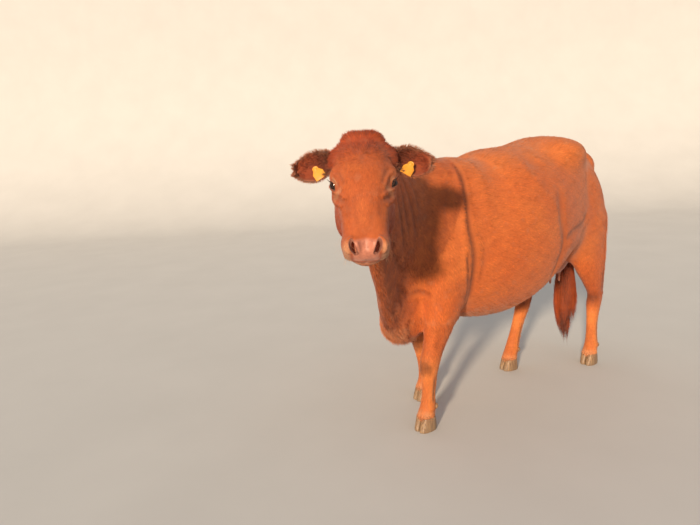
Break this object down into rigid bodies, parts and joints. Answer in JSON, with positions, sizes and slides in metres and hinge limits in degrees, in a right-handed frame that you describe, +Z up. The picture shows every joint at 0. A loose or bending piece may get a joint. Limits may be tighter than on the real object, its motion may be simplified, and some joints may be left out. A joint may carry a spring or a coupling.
{
  "type": "cow",
  "caption": "Life-size still model of a polled, red-brown beef cow standing square on its hooves, head turned to its left, with an ear tag in each ear",
  "frame": {"origin": "middle of the bounding box in X and Y, at the level of the soles", "axes": "+X toward the tail along the body, the head lies toward -X and turned toward -Y; +Y the cow's right side; +Z up"},
  "size_m": [2.3882, 1.0852, 1.5097],
  "materials": {
    "coat": "short flat red-brown hair",
    "bare_skin": "matte, finely wrinkled bare skin",
    "horn": "semi-matte keratin with fine growth lines",
    "eye": "wet gloss",
    "tag": "satin moulded plastic, blank face",
    "long_hair": "long coarse dark hair"
  },
  "bodies": {
    "root": {"claw_foreleg_left_a": "horn", "claw_foreleg_left_b": "horn", "claw_foreleg_right_a": "horn", "claw_foreleg_right_b": "horn", "claw_hindleg_left_a": "horn", "claw_hindleg_left_b": "horn", "claw_hindleg_right_a": "horn", "claw_hindleg_right_b": "horn", "dewclaw_foreleg_left_a": "horn", "dewclaw_foreleg_left_b": "horn", "dewclaw_foreleg_right_a": "horn", "dewclaw_foreleg_right_b": "horn", "dewclaw_hindleg_left_a": "horn", "dewclaw_hindleg_left_b": "horn", "dewclaw_hindleg_right_a": "horn", "dewclaw_hindleg_right_b": "horn", "ear_left": "coat", "ear_right": "coat", "eye_left": "eye", "eye_right": "eye", "foreleg_left": "coat", "foreleg_right": "coat", "head": "coat", "hindleg_left": "coat", "hindleg_right": "coat", "neck": "coat", "tag_left_back": "tag", "tag_left_front": "tag", "tag_right_back": "tag", "tag_right_front": "tag", "tail": "coat", "tail_brush": "long_hair", "teat_1": "bare_skin", "teat_2": "bare_skin", "teat_3": "bare_skin", "teat_4": "bare_skin", "trunk": "coat", "udder": "bare_skin"}
  },
  "joints": []
}
